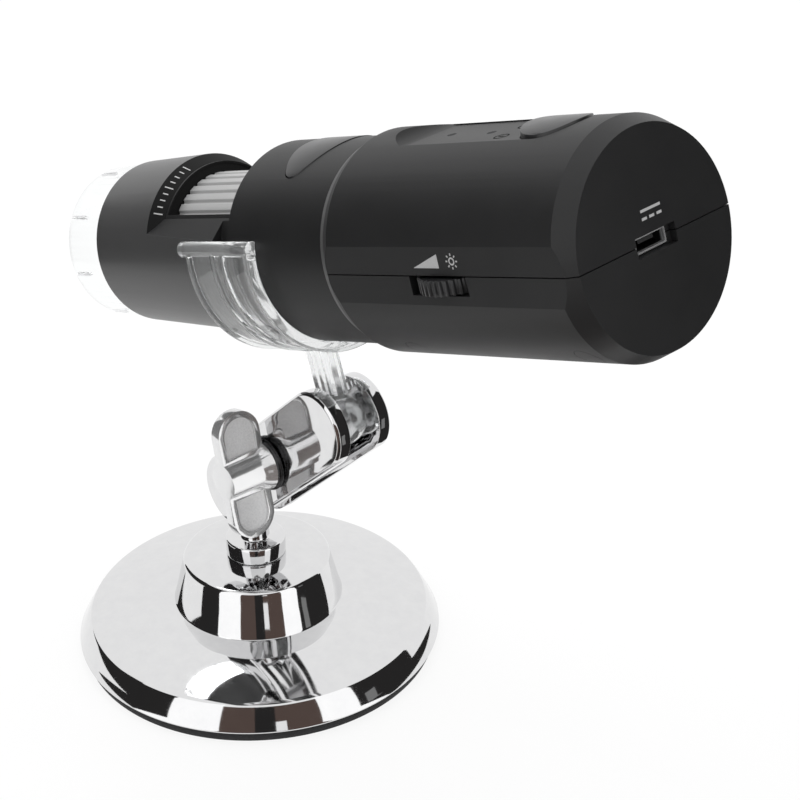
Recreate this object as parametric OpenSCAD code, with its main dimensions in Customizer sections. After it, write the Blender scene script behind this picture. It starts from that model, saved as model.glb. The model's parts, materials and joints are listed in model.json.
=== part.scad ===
// Hand-held digital microscope on a plated ball-joint stand.
// The origin is the middle of the stand's underside, +Z is up and the tube's rear end points to +X.
// Inside the tube, stations along X are counted from the front edge of the rear body.

/* [Base] */
// Diameter of the plated base at its widest edge
base_d = 78.5; // [66:0.5:100]
// Height of the bevelled skirt round the base
skirt_h = 5.3; // [3:0.1:8]
// Inward lean of the bevelled skirt
skirt_lean = 2.8; // [1:0.1:5]
// Rise of the domed top from the skirt to the foot of the hub
dome_h = 2.8; // [1:0.1:6]
// Diameter of the hub at its foot
hub_foot_d = 36.2; // [34:0.1:44]
// Diameter of the hub at its top
hub_top_d = 31.9; // [26:0.1:33]
// Height of the hub above its foot
hub_h = 10.4; // [8:0.1:14]
// Rise of the polished crown on the hub
hub_crown = 0.4; // [0.1:0.1:1]
// Rounding of the hub's top edge
hub_round = 1; // [0.3:0.1:2]
// Wall of the hollow casting
base_wall = 4; // [3:0.1:5]
// Diameter of the solid core under the hub
core_d = 20; // [18:0.5:24]
// Thickness of the soft pad under the base
pad_t = 2.5; // [1:0.1:4]
// Step between the edge of the base and the edge of the pad
pad_step = 0.8; // [0.3:0.1:2]

/* [Ball stud] */
// Diameter of both balls held by the clamp
ball_d = 10.4; // [9.4:0.1:11.4]
// Height of the stud's ball centre above the collar ring
ball_rise = 13.55; // [11:0.05:20]
// Diameter of the collar ring on the stud
ring_d = 12.8; // [10:0.1:16]
// Height of the collar ring on the stud
ring_h = 4; // [2:0.1:6]
// Bevel on the collar ring
ring_bevel = 0.5; // [0.2:0.1:1]
// Diameter of the stud's neck between collar ring and ball
neck_d = 6; // [4:0.1:6.4]
// Diameter of the threaded shank in the base
shank_d = 6; // [4:0.5:8]
// Width across flats of the nut under the base
nut_w = 10; // [9:0.5:13]
// Thickness of the nut under the base
nut_t = 4; // [3:0.1:5]

/* [Clamp arm] */
// Distance between the two ball centres
ball_span = 41.8; // [36:0.1:50]
// Rise of the arm above the table
arm_rise = 42.7; // [35:0.1:55]
// Turn of the arm about the upright, against the tube
arm_yaw = -4.6; // [-8:0.1:8]
// Width of each jaw, twice its end radius
jaw_w = 15.7; // [14:0.1:18]
// Thickness of each jaw
jaw_t = 2.95; // [2.6:0.05:4]
// Gap between the jaws
jaw_gap = 7.2; // [6.8:0.1:8]
// Bevel on the outer edge of each jaw
jaw_bevel = 0.5; // [0.2:0.1:1]
// Diameter of the clamp screw
screw_d = 4.9; // [4:0.1:6]
// Diameter of the clamp screw's head
screw_head_d = 8.4; // [7:0.1:11]
// Height of the clamp screw's head
screw_head_h = 2; // [1.5:0.1:3]
// Diameter of the washer under the wing nut
washer_d = 11.2; // [9.5:0.1:14]
// Thickness of the washer under the wing nut
washer_t = 1.4; // [0.8:0.1:2]

/* [Wing nut] */
// Length of the wing nut from tip to tip
wing_span = 27; // [22:0.1:30]
// Width of the wings along the screw
wing_w = 9.8; // [8:0.1:12]
// Thickness of the wings
wing_t = 2.6; // [2:0.1:4]
// Diameter of the wing nut's barrel
wing_hub_d = 7.6; // [7:0.1:10]
// Height of the flared foot of the wing nut
wing_foot_h = 2.4; // [1.5:0.1:4]
// Depth of the pressed panels in the wings
wing_panel = 0.5; // [0.2:0.1:0.8]
// Turn of the wings from the arm's length
wing_turn = 59.4; // [0:0.1:180]

/* [Cradle] */
// Distance from the cradle's ball centre to the tube's axis
cradle_drop = 36.8; // [34:0.1:44]
// Width of the clip band along the tube
band_w = 18.3; // [14:0.1:20]
// Wall of the clip band
band_t = 1.5; // [1.2:0.1:2.5]
// Height of the ribs on the clip band
band_rib = 0.6; // [0.3:0.1:1]
// Width of each rib on the clip band
band_rib_w = 1; // [0.5:0.1:1.5]
// Width of the channel between the two middle ribs
band_channel_w = 1.9; // [1:0.1:3]
// How far the band's middle lies ahead of the collar's front edge
band_lead = 0.6; // [0:0.05:3]
// Angle from the top of the tube to each lip
lip_angle = 77; // [65:1:85]
// Radius of the rounded lip bars
lip_r = 1.5; // [1.2:0.1:2]
// How far the lip bars stand past the band's front edge
lip_over = 2.4; // [0.5:0.1:3]
// How far the lip bars stand past the band's rear edge
lip_rear = 0.1; // [0.1:0.1:2]
// Width of the stem along the tube
stem_w = 5.2; // [4:0.1:7]
// Width of the stem across the tube
stem_d = 3.6; // [3:0.1:5]
// Depth of the grooves along the stem
stem_groove = 0.6; // [0.2:0.1:0.9]
// How far the stem stands ahead of the collar's front edge
stem_lead = 3.8; // [0:0.1:5]

/* [Rear body] */
// Tilt of the tube above the table, rear end up
tube_tilt = 18.3; // [10:0.1:25]
// Diameter of the rear body
body_d = 40; // [38:0.1:46]
// Length of the rear body
body_l = 59; // [57:0.1:70]
// Distance between the flats on the two sides
flats_w = 38.7; // [37.6:0.1:39.6]
// Length of the bevel at the rear end
rear_bevel_l = 3.75; // [2:0.05:6]
// Depth of the bevel at the rear end
rear_bevel_d = 1.55; // [0.5:0.05:2]
// Bevel on the front edge of the rear body
front_bevel = 0.6; // [0.3:0.1:1.2]
// Length of that bevel along the tube
front_bevel_l = 1.5; // [0.6:0.1:3]
// Wall of the rear body
body_wall = 2; // [1.6:0.1:2.2]
// Wall behind the flats on the two sides
side_wall = 1.5; // [1.2:0.1:1.8]
// Wall across the rear end
rear_wall = 2.5; // [2:0.1:4]
// Seam between the upper and the lower shell
seam = 0.2; // [0.1:0.05:0.4]

/* [Top panel] */
// Height of the panel's floor, counted from the top of the body
panel_z = -1.35; // [-1.8:0.05:-1]
// Wall under the panel's floor
panel_wall = 1.75; // [1.4:0.05:2.2]
// Width of the sunk panel
panel_w = 13.2; // [12.8:0.1:14.4]
// Station of the panel's front end
panel_front = 6.3; // [5:0.05:9]
// Length of the ramp at the panel's front end
panel_ramp = 6.4; // [2:0.05:7]
// Station of the panel's rear end
panel_rear = 49.6; // [48:0.1:51]
// Diameter of the round power button at its foot
power_d = 12.4; // [11:0.1:12.6]
// Diameter of the power button's top face
power_top_d = 11.8; // [9:0.1:12.2]
// How far the power button stands above the body
power_proud = 0.3; // [0.2:0.1:1]
// Travel of the power button
power_travel = 0.6; // [0.3:0.1:0.8]
// Diameter of the two indicator holes
pipe_d = 1.6; // [1.2:0.1:2]
// Station of the front indicator hole
pipe_front = 18; // [15.5:0.1:19]
// Distance between the indicator holes
pipe_pitch = 9.7; // [9:0.1:11]

/* [Front collar] */
// Diameter of the front collar
collar_d = 37.5; // [36.8:0.1:38.4]
// Length of the front collar
collar_l = 28.6; // [26.5:0.1:34]
// Bevel on the front edge of the collar
collar_bevel = 0.5; // [0.2:0.1:1]
// Inner diameter of the collar behind its bulkhead
collar_bore = 31.2; // [30:0.1:32]
// Length of the spigot that the shells grip
spigot_l = 7; // [5:0.1:7.6]
// Diameter of the spigot that the shells grip
spigot_d = 34; // [33.4:0.1:34.6]
// Thickness of the bulkhead behind the focus wheel
bulkhead_t = 2; // [1.5:0.1:2.5]
// Length of the barrel's seat in the collar
seat_l = 4.6; // [3:0.1:6]
// Length of the snapshot button round the collar
snap_l = 22; // [18:0.1:23]
// Width of the snapshot button along the tube
snap_w = 11; // [9:0.1:12]
// Radius of the snapshot button's tips
snap_tip_r = 2.6; // [1.5:0.1:3.5]
// Distance from the collar's rear edge to the snapshot button's middle
snap_back = 14.25; // [12:0.05:15]
// How far the snapshot button stands above the collar
snap_proud = 0.15; // [0.1:0.05:0.9]
// Travel of the snapshot button
snap_travel = 0.5; // [0.3:0.1:0.6]

/* [Lens barrel] */
// Diameter of the lens barrel's seat in the collar
barrel_d = 33.7; // [33.2:0.1:34.4]
// Diameter of the lens barrel at its front edge
barrel_front_d = 32.6; // [32.2:0.1:33.6]
// Diameter of the lens barrel where it meets the collar
barrel_rear_d = 36.7; // [34.4:0.1:37.2]
// Length of the lens barrel ahead of the collar
barrel_l = 46.1; // [45:0.1:56]
// Wall of the lens barrel
barrel_wall = 1.65; // [1.4:0.05:2]
// Diameter of the light path through the barrel's inner shoulder
shoulder_d = 25.6; // [25:0.1:26]
// Depth of the front bore that takes the clear cap and the light ring
front_bore_l = 10.1; // [9.6:0.1:12]
// Length of the window recess ahead of the collar
window_l = 27.5; // [26.5:0.1:32]
// Length of the slope at the front of the window recess
window_slope = 3.4; // [1:0.1:3.6]
// Depth of the window recess at its front edge
window_depth = 1.55; // [1.2:0.05:1.7]
// Half angle of the window recess about the top
window_half = 57; // [45:1:62]
// Angle over which the recess runs out at each side
window_ramp = 11; // [6:1:14]
// Length of the opening over the focus wheel
opening_l = 23.8; // [22:0.1:24]
// Half angle of the opening over the focus wheel
opening_half = 54; // [40:1:56]
// Length of the notch between the window recess and the collar
notch_l = 5.2; // [2:0.1:8]
// Half angle of that notch about the top
notch_half = 75; // [70:1:85]

/* [Clear cap] */
// Length of the clear cap ahead of the barrel
cap_l = 11.5; // [9:0.1:16]
// Diameter of the clear cap at its root
cap_d = 31.6; // [31:0.1:32.6]
// Diameter of the clear cap at its rim
cap_rim_d = 30.8; // [29.6:0.1:31.6]
// Wall of the clear cap
cap_wall = 1.2; // [0.9:0.1:1.5]
// Length of the cap's spigot in the barrel
cap_spigot_l = 5; // [3:0.1:6]
// Number of slits in the cap's rim
cap_slits = 8; // [4:1:12]
// Length of the slits in the cap's rim
cap_slit_l = 5.2; // [2:0.1:7]
// Width of the slits in the cap's rim
cap_slit_w = 0.4; // [0.3:0.1:1]

/* [Focus] */
// Number of ribs round the focus wheel
wheel_ribs = 36; // [32:4:72]
// Depth of the grooves between the ribs
wheel_groove = 0.45; // [0.3:0.05:0.8]
// Share of a rib's pitch that its crest takes
wheel_crest = 0.58; // [0.3:0.02:0.64]
// How far the ribs lie below the wheel's bearing land
wheel_sink = 1.6; // [0.5:0.1:1.8]
// Bore of the focus wheel
wheel_bore = 23.2; // [22:0.1:24]
// Diameter of the lens carriage's nose
nose_d = 13.6; // [12:0.1:14]
// Bore of the lens carriage
carriage_bore = 9.6; // [8:0.1:10]
// Length of the lens carriage's threaded flange
flange_l = 11; // [8:0.1:12]
// Travel of the lens carriage each way
focus_travel = 2.5; // [1:0.1:2.8]
// Diameter of the two guide rods
rod_d = 1.6; // [1.2:0.1:2]
// Distance between the two guide rods
rod_span = 18.4; // [18:0.1:19]
// Thickness of the objective lens at its middle
lens_t = 3.2; // [2.4:0.1:4]
// Depth of the lens below the nose's front edge
lens_sink = 0.6; // [0.3:0.1:1.2]

/* [Light ring] */
// Thickness of the circuit boards
board_t = 1.6; // [1:0.1:1.8]
// Number of lamps round the lens
lamp_count = 8; // [4:1:10]
// Diameter of the circle that the lamps sit on
lamp_circle_d = 22.6; // [21.6:0.1:23]
// Width of each lamp
lamp_w = 3; // [2:0.1:3.4]
// Height of each lamp
lamp_h = 1.4; // [0.8:0.1:1.8]

/* [Electronics] */
// Side of the square sensor board
sensor_board_w = 18; // [17:0.1:19]
// Side of the square image sensor
sensor_w = 8; // [6:0.1:10]
// Thickness of the image sensor
sensor_t = 1.2; // [0.8:0.1:1.6]
// Width of the main board
main_board_w = 29; // [28:0.1:30]
// Gap between the rear body's walls and the ends of the main board
main_board_gap = 0.3; // [0.2:0.1:0.6]
// Width of the micro socket's metal shell
socket_w = 7.5; // [7:0.1:8]
// Height of the micro socket's metal shell
socket_h = 2.7; // [2.4:0.1:2.9]
// Length of the micro socket's metal shell
socket_l = 6.6; // [5:0.1:7]
// Distance of the socket's middle below the seam
socket_drop = 0.25; // [0:0.05:0.4]
// Margin of the recess round the socket
socket_margin = 1.1; // [0.6:0.1:1.6]
// Depth of the recess round the socket
socket_sink = 1.4; // [0.8:0.1:1.6]
// Length of the battery
battery_l = 34; // [24:0.5:38]
// Width of the battery
battery_w = 18; // [14:0.5:18.5]
// Thickness of the battery
battery_t = 8; // [5:0.1:8.4]
// Distance of the battery's underside below the tube's axis
battery_z = 14.4; // [14:0.1:14.7]
// Half spacing of the case screws across the body
boss_y = 12.2; // [12:0.1:12.6]
// Station of the front case screws
boss_front = 11; // [10.6:0.1:13]
// Distance of the rear case screws from the rear end
boss_back = 8; // [7:0.1:10]
// Diameter of the screw bosses
boss_d = 5.4; // [4.8:0.1:5.6]
// Diameter of the case screws
case_screw_d = 2; // [1.6:0.1:2.4]
// Diameter of the case screws' heads
case_head_d = 4; // [3.6:0.1:4.4]
// Height of the case screws' heads
case_head_h = 1.6; // [1.2:0.1:2]
// Height of the key board's upper face above the tube's axis
key_board_z = 11.2; // [10.6:0.1:11.4]
// Width of the key board
key_board_w = 13; // [12:0.1:14]
// Side of each key switch
switch_w = 6; // [4.5:0.1:6.4]
// Height of each key switch's case
switch_h = 1.6; // [1.2:0.1:2]
// Height of each key switch's plunger
plunger_h = 0.6; // [0.4:0.1:0.8]

/* [Light dial] */
// Diameter of the light dial
dial_d = 16; // [15:0.1:17]
// Thickness of the light dial
dial_t = 2.6; // [2.2:0.1:2.8]
// How far the dial stands out of the side flat
dial_proud = 1.7; // [1:0.1:2.2]
// Station of the dial's axis
dial_x = 27.8; // [26:0.1:29]
// Number of notches round the dial
dial_notches = 40; // [24:4:48]
// Depth of the notches round the dial
dial_notch = 0.5; // [0.3:0.05:0.7]
// Length of the dial's slot in the side of the body
slot_l = 13.6; // [13.4:0.1:15]
// Height of the dial's slot
slot_h = 3.3; // [3.2:0.05:3.6]
// Diameter of the dial's shaft
dial_shaft_d = 3; // [2:0.1:4]

/* [Fits] */
// Radial clearance of running fits
run_fit = 0.08; // [0.04:0.01:0.1]
// End clearance of parts that turn or slide
end_fit = 0.2; // [0.1:0.05:0.3]
// Clearance round buttons and keys
key_fit = 0.15; // [0.1:0.05:0.25]
// Clearance between fixed parts
seat_fit = 0.05; // [0.02:0.01:0.1]

/* [Hidden] */
$fn = 96;
// Spare length by which a cutter passes through a wall
through = 1;
// Largest length, used for half spaces
far = 400;

// Stand
base_r = base_d / 2;
pad_r = base_r - pad_step;
base_edge = 0.3;
skirt_top_r = base_r - skirt_lean;
skirt_top_z = pad_t + skirt_h;
dome_steps = 6;
hub_foot_r = hub_foot_d / 2;
hub_foot_z = skirt_top_z + dome_h;
hub_top_r = hub_top_d / 2;
hub_top_z = hub_foot_z + hub_h;
crown_z = hub_top_z + hub_crown;
ring_r = ring_d / 2;
crown_flat_r = ring_r + 1;
ring_z = crown_z + seat_fit;
ball_r = ball_d / 2;
ball_z = ring_z + ring_h + ball_rise;
nut_r = nut_w / 2 / cos(30);
nut_well_r = nut_r + 0.5;
nut_z = pad_t + 0.6;
nut_well_z = nut_z + nut_t + seat_fit;
stud_ball = [0, 0, ball_z];

// Clamp arm, with X along the arm and the screw along Y
arm_dir = [cos(arm_rise) * cos(arm_yaw), cos(arm_rise) * sin(arm_yaw), sin(arm_rise)];
cradle_ball = stud_ball + ball_span * arm_dir;
jaw_r = jaw_w / 2;
jaw_out = jaw_gap / 2 + jaw_t;
screw_r = screw_d / 2;
screw_x = ball_span / 2;
wing_z = jaw_out + washer_t + seat_fit;
wing_cap = 1.2;
wing_panel_rim = 1.3;

// Tube, with stations along X from the front edge of the rear body
body_r = body_d / 2;
collar_r = collar_d / 2;
collar_front = -collar_l;
collar_gap = 0.2;
barrel_r = barrel_d / 2;
barrel_front_r = barrel_front_d / 2;
barrel_rear_r = barrel_rear_d / 2;
barrel_front = collar_front - barrel_l;
cap_front = barrel_front - cap_l;
tube_axis = [cos(tube_tilt), 0, sin(tube_tilt)];
tube_up = [-sin(tube_tilt), 0, cos(tube_tilt)];
stem_x = collar_front - stem_lead;
tube_origin = cradle_ball + cradle_drop * tube_up - stem_x * tube_axis;

// Cradle
band_x = collar_front - band_lead;
band_front = band_x - band_w / 2;
band_rear = band_x + band_w / 2;
clip_r = collar_r + run_fit;
band_r = clip_r + band_t;
wrap_half = 180 - lip_angle;

// Rear body
cavity_r = body_r - body_wall;
rear_x = body_l - rear_wall;
spigot_r = spigot_d / 2;
panel_floor = body_r + panel_z;
ceiling_z = panel_floor - panel_wall;
panel_r = panel_w / 2;
power_r = power_d / 2;
power_top_r = power_top_d / 2;
power_x = panel_rear - panel_r;
power_flange = 0.8;
power_flange_h = 0.8;
boss_r = boss_d / 2;
boss_rear = body_l - boss_back;
boss_spots = [for (x = [boss_front, boss_rear], y = [-boss_y, boss_y]) [x, y]];
head_seat_z = -11;
head_well_r = case_head_d / 2 + 0.3;
plug_fit = 0.08;
pilot_top = 7;

// Boards
socket_z = -socket_drop;
main_top = socket_z - socket_h / 2;
main_bottom = main_top - board_t;
main_front = spigot_l + main_board_gap;
main_rear = rear_x - main_board_gap;
socket_rear = body_l - socket_sink;
key_bottom = key_board_z - board_t;
key_rim = 2;
key_front = -snap_back - switch_w / 2 - key_rim;
key_rear = power_x + switch_w / 2 + key_rim;
plunger_top = key_board_z + switch_h + plunger_h;
post_r = 2.2;
post_front = boss_front;
post_back = 5;
post_rear = pipe_front + pipe_pitch + post_back;
key_screw_short = 1.7;
key_screw_top = ceiling_z - key_screw_short;
pipe_spots = [pipe_front, pipe_front + pipe_pitch];
status_lamp_h = 0.8;
chip_in = 2;
processor_w = 10;
processor_h = 1.2;
memory_x = dial_x + chip_in;
memory_l = 8;
memory_w = 6;
memory_h = 1;
store_l = 12;
store_w = 4;
store_h = 1.8;

// Light dial
dial_r = dial_d / 2;
side_y = min(flats_w / 2, body_r);
dial_y = -(side_y + dial_proud - dial_r);
slot_top = -seam / 2;
slot_bottom = slot_top - slot_h;
dial_z = (slot_top + slot_bottom) / 2 - dial_t / 2;
dial_shaft_r = dial_shaft_d / 2;
notch_margin = 0.8;
pot_top = min(main_bottom, dial_z - end_fit);
pot_t = 1.2;
pot_l = 10;
pot_in = 3.4;
pot_fit = 0.39;
pot_bottom = pot_top - pot_t;
pot_out_y = min(sqrt(cavity_r * cavity_r - pot_bottom * pot_bottom), side_y - side_wall) - pot_fit;

// Front collar and lens barrel
bore_r = barrel_r - barrel_wall;
seat_x = collar_front + seat_l;
bulkhead_rear = seat_x + bulkhead_t;
barrel_rear = seat_x - seat_fit;
shoulder_r = shoulder_d / 2;
light_seat_x = barrel_front + front_bore_l;
wheel_front_x = collar_front - opening_l;
window_step = 0.1;
window_front = collar_front - window_l;
floor_r = barrel_front_r - window_depth
    + (barrel_rear_r - barrel_front_r) * (window_front - barrel_front) / barrel_l;
notch_step = 0.3;
snap_x = -snap_back;
snap_flange = 1;
snap_flange_t = 1;

// Focus
wheel_front = wheel_front_x + end_fit;
wheel_rear = seat_x - end_fit;
wheel_r = bore_r - run_fit;
crest_r = wheel_r - wheel_sink;
journal_r = shoulder_r - run_fit;
journal_l = 2;
wheel_bore_r = wheel_bore / 2;
wheel_land = 0.8;
nose_r = nose_d / 2;
nose_front = light_seat_x - board_t - 1.8;
flange_r = wheel_bore_r - run_fit;
flange_front = wheel_front + focus_travel - 1.1;
flange_rear = flange_front + flange_l;
rod_r = rod_d / 2;
rod_front = flange_front - focus_travel - 1;
rod_seat = 1.2;
lens_r = carriage_bore / 2 - seat_fit;
lens_front = nose_front + lens_sink;
lens_lip = 0.6;

// Light ring
ring_board_r = bore_r - seat_fit;
ring_board_bore = nose_r + 0.6;
ring_board_front = light_seat_x - board_t;

// Sensor
window_r = sensor_w / 2 * sqrt(2) + 0.8;
sensor_front = bulkhead_rear - sensor_t;
sensor_screw_r = 0.8;
sensor_head_r = 1.6;
sensor_screw_at = sensor_board_w / 2 - 2;
flex_w = 8;
flex_t = 0.3;
flex_tab = 4;
flex_land = 4;
flex_drop = 3;

// Frames

// Frame of the clamp: X runs from ball to ball and the wing nut is on the -Y side
module at_clamp() translate(stud_ball) rotate([0, -arm_rise, arm_yaw]) children();

// Frame of the tube: X runs to the rear end and Z stands square to the tube
module at_tube() translate(tube_origin) rotate([0, -tube_tilt, 0]) children();

// Turns a shape that stands on Z so that it runs along X from station x0
module along_x(x0 = 0) translate([x0, 0, 0]) rotate([0, 90, 0]) children();

// Shared shapes

module rod_x(r, x0, x1) along_x(x0) cylinder(r = r, h = x1 - x0);

module ring_x(r_out, r_in, x0, x1) difference() {
    rod_x(r_out, x0, x1);
    rod_x(r_in, x0 - through, x1 + through);
}

// Box given by its three spans
module span_box(xs, ys, zs)
    translate([xs[0], ys[0], zs[0]]) cube([xs[1] - xs[0], ys[1] - ys[0], zs[1] - zs[0]]);

// Flat shape with two round ends, its length along X
module stadium(x0, x1, r) {
    translate([x0 + r, 0]) circle(r);
    translate([x1 - r, 0]) circle(r);
    translate([x0 + r, -r]) square([x1 - x0 - 2 * r, 2 * r]);
}

// Oval of two side arcs and two tip arcs that meet smoothly, its length along Y
module arc_oval(half_l, half_w, tip_r) {
    tip_c = half_l - tip_r;
    side_r = (tip_c * tip_c + half_w * half_w - tip_r * tip_r) / (2 * (half_w - tip_r));
    meet = tip_c + tip_r * tip_c / (side_r - tip_r);
    for (end = [-1, 1]) translate([0, end * tip_c]) circle(tip_r);
    intersection() {
        translate([side_r - half_w, 0]) circle(side_r);
        translate([half_w - side_r, 0]) circle(side_r);
        translate([-half_w, -meet]) square([2 * half_w, 2 * meet]);
    }
}

// Wheel outline with trapezoid ribs
function rib_outline(count, r_crest, depth, crest = 0.36) = [
    for (i = [0 : count - 1], corner = [[0, 0], [0.14, 1], [0.14 + crest, 1], [0.28 + crest, 0]])
        let (a = 360 * (i + corner[0]) / count, r = r_crest - depth + depth * corner[1])
            [r * cos(a), r * sin(a)]
];

// Stand

module base_pad() color("#1c1c1e") cylinder(r = pad_r, h = pad_t);

// Outline of the cast base from the underside to the crown of the hub
function base_outline() = concat(
    [[0, pad_t], [base_r - base_edge, pad_t], [base_r, pad_t + base_edge]],
    [for (i = [0 : dome_steps]) let (t = i / dome_steps) [
        skirt_top_r + (hub_foot_r - skirt_top_r) * t,
        skirt_top_z + dome_h * sin(90 * t)
    ]],
    [
        [hub_top_r, hub_top_z - hub_round], [hub_top_r - hub_round, hub_top_z],
        [crown_flat_r, crown_z], [0, crown_z]
    ]
);

// The casting is hollow round its core, and the pad closes it below
function hollow_outline() = [
    [core_d / 2, pad_t - through], [skirt_top_r - base_wall, pad_t - through],
    [skirt_top_r - base_wall, skirt_top_z - base_wall], [hub_foot_r, hub_foot_z - base_wall],
    [core_d / 2, hub_foot_z - base_wall]
];

module base_plate() color("#d9dadc") difference() {
    rotate_extrude() polygon(base_outline());
    rotate_extrude() polygon(hollow_outline());
    cylinder(r = shank_d / 2 + run_fit, h = crown_z + through);
    translate([0, 0, pad_t - through]) cylinder(r = nut_well_r, h = nut_well_z - pad_t + through);
}

module ball_stud() color("#d9dadc") {
    translate([0, 0, nut_z]) cylinder(d = shank_d, h = ring_z + ring_h / 2 - nut_z);
    translate([0, 0, ring_z]) rotate_extrude() polygon([
        [0, 0], [ring_r - ring_bevel, 0], [ring_r, ring_bevel],
        [ring_r, ring_h - ring_bevel], [ring_r - ring_bevel, ring_h], [0, ring_h]
    ]);
    translate([0, 0, ring_z + ring_h / 2]) cylinder(d = neck_d, h = ball_z - ring_z - ring_h / 2);
    translate(stud_ball) rotate([90, 0, 0]) sphere(ball_r);
}

module stud_nut() color("#a9abae") translate([0, 0, nut_z]) difference() {
    cylinder(r = nut_r, h = nut_t, $fn = 6);
    translate([0, 0, -through]) cylinder(r = shank_d / 2 + seat_fit, h = nut_t + 2 * through);
}

// Clamp arm

// One jaw on the +Y side: a round-ended plate with a ball socket at each end
module jaw() difference() {
    union() {
        translate([0, jaw_out - jaw_bevel, 0]) rotate([90, 0, 0])
            linear_extrude(jaw_t - jaw_bevel) stadium(-jaw_r, ball_span + jaw_r, jaw_r);
        for (x = [0, ball_span]) translate([x, jaw_out - jaw_bevel, 0]) rotate([-90, 0, 0])
            cylinder(r1 = jaw_r, r2 = jaw_r - jaw_bevel, h = jaw_bevel);
        rotate([90, 0, 90]) linear_extrude(ball_span) polygon([
            [jaw_out - jaw_bevel, -jaw_r], [jaw_out, jaw_bevel - jaw_r],
            [jaw_out, jaw_r - jaw_bevel], [jaw_out - jaw_bevel, jaw_r]
        ]);
    }
    for (x = [0, ball_span]) translate([x, 0, 0]) sphere(ball_r + run_fit);
    translate([screw_x, -far / 2, 0]) rotate([-90, 0, 0]) cylinder(r = screw_r + seat_fit, h = far);
}

module clamp_jaw_rear() color("#d9dadc") at_clamp() jaw();

module clamp_jaw_front() color("#d9dadc") at_clamp() mirror([0, 1, 0]) jaw();

module clamp_screw() color("#c4c6c9") at_clamp() translate([screw_x, jaw_out, 0]) {
    rotate([-90, 0, 0]) rotate_extrude() polygon([
        [0, 0], [screw_head_d / 2, 0], [screw_head_d / 2, screw_head_h / 2],
        [screw_head_d / 2 - screw_head_h / 2, screw_head_h], [0, screw_head_h]
    ]);
    rotate([90, 0, 0]) cylinder(r = screw_r, h = jaw_out + wing_z + wing_w - wing_cap - end_fit);
}

module clamp_washer() color("#b9bbbe") at_clamp() translate([screw_x, -jaw_out, 0]) rotate([90, 0, 0])
    difference() {
        cylinder(d = washer_d, h = washer_t);
        translate([0, 0, -through]) cylinder(r = screw_r + seat_fit, h = washer_t + 2 * through);
    }

// Outline of a panel, straight beside the barrel and round at the tip
module wing_floor(start, stop, r) intersection() {
    stadium(-stop, stop, r);
    translate([start, -2 * r]) square([stop, 4 * r]);
}

// The two wings are one round-ended plate through the nut's barrel, with a pressed panel on each face
module wing_nut() color("#d9dadc") at_clamp() translate([screw_x, 0, 0]) rotate([90, 0, 0])
    rotate([0, 0, wing_turn]) translate([0, 0, wing_z]) difference() {
        union() {
            translate([0, wing_t / 2, wing_w / 2]) rotate([90, 0, 0]) linear_extrude(wing_t)
                stadium(-wing_span / 2, wing_span / 2, wing_w / 2);
            cylinder(d = wing_hub_d, h = wing_w);
            cylinder(d1 = washer_d - 1, d2 = wing_hub_d, h = wing_foot_h);
        }
        for (face = [-1, 1], end = [-1, 1]) mirror([0, face > 0 ? 0 : 1, 0]) mirror([end > 0 ? 0 : 1, 0, 0])
            translate([0, wing_t / 2 + through, wing_w / 2]) rotate([90, 0, 0])
                linear_extrude(wing_panel + through) wing_floor(
                    wing_hub_d / 2 + wing_panel_rim / 2, wing_span / 2 - wing_panel_rim,
                    wing_w / 2 - wing_panel_rim
                );
        translate([0, 0, -through]) cylinder(r = screw_r + run_fit, h = wing_w - wing_cap + through);
    }

// Cradle

// Section of the clip band before its bore, radius along X and station along Y
module band_section() {
    translate([clip_r - through, band_front]) square([through + band_t, band_w]);
    for (x = [
        band_front,
        band_x - band_channel_w / 2 - band_rib_w,
        band_x + band_channel_w / 2,
        band_rear - band_rib_w
    ]) translate([clip_r - through, x]) square([through + band_t + band_rib, band_rib_w]);
}

module stem_section() difference() {
    square([stem_w, stem_d], center = true);
    for (side = [-1, 1]) translate([0, side * stem_d / 2])
        square([stem_w / 2, 2 * stem_groove], center = true);
}

module cradle() color("#e8eef0", 0.5) at_tube() difference() {
    union() {
        along_x() rotate([0, 0, -wrap_half]) rotate_extrude(angle = 2 * wrap_half) band_section();
        for (side = [-1, 1]) rotate([side * lip_angle, 0, 0])
            translate([0, 0, clip_r + band_t / 2]) rod_x(lip_r, band_front - lip_over, band_rear + lip_rear);
        translate([stem_x, 0, -cradle_drop]) {
            linear_extrude(cradle_drop - clip_r + through) stem_section();
            rotate([90, 0, 0]) sphere(ball_r);
        }
    }
    rod_x(clip_r, band_front - far, band_rear + far);
}

// Rear body

// Outer form of both shells together
module body_form() difference() {
    along_x() rotate_extrude() polygon([
        [0, 0], [body_r - front_bevel, 0], [body_r, front_bevel_l],
        [body_r, body_l - rear_bevel_l], [body_r - rear_bevel_d, body_l], [0, body_l]
    ]);
    for (side = [-1, 1]) translate([body_l / 2, side * (flats_w / 2 + body_r), 0])
        cube([2 * body_l, 2 * body_r, body_d], center = true);
}

module body_cavity() {
    rod_x(spigot_r + seat_fit, -through, spigot_l + seat_fit);
    intersection() {
        rod_x(cavity_r, spigot_l, rear_x);
        span_box([0, body_l], [side_wall - side_y, side_y - side_wall], [-body_r, ceiling_z]);
    }
}

// Opening for the micro socket through the rear wall, with a wider recess outside
module socket_cut() {
    half_w = socket_w / 2 + key_fit;
    half_h = socket_h / 2 + key_fit;
    span_box([rear_x - through, body_l + through], [-half_w, half_w], [socket_z - half_h, socket_z + half_h]);
    wide = socket_w / 2 + socket_margin;
    tall = socket_h / 2 + socket_margin / 3;
    span_box([body_l - socket_sink, body_l + through], [-wide, wide], [socket_z - tall, socket_z + tall]);
}

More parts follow.
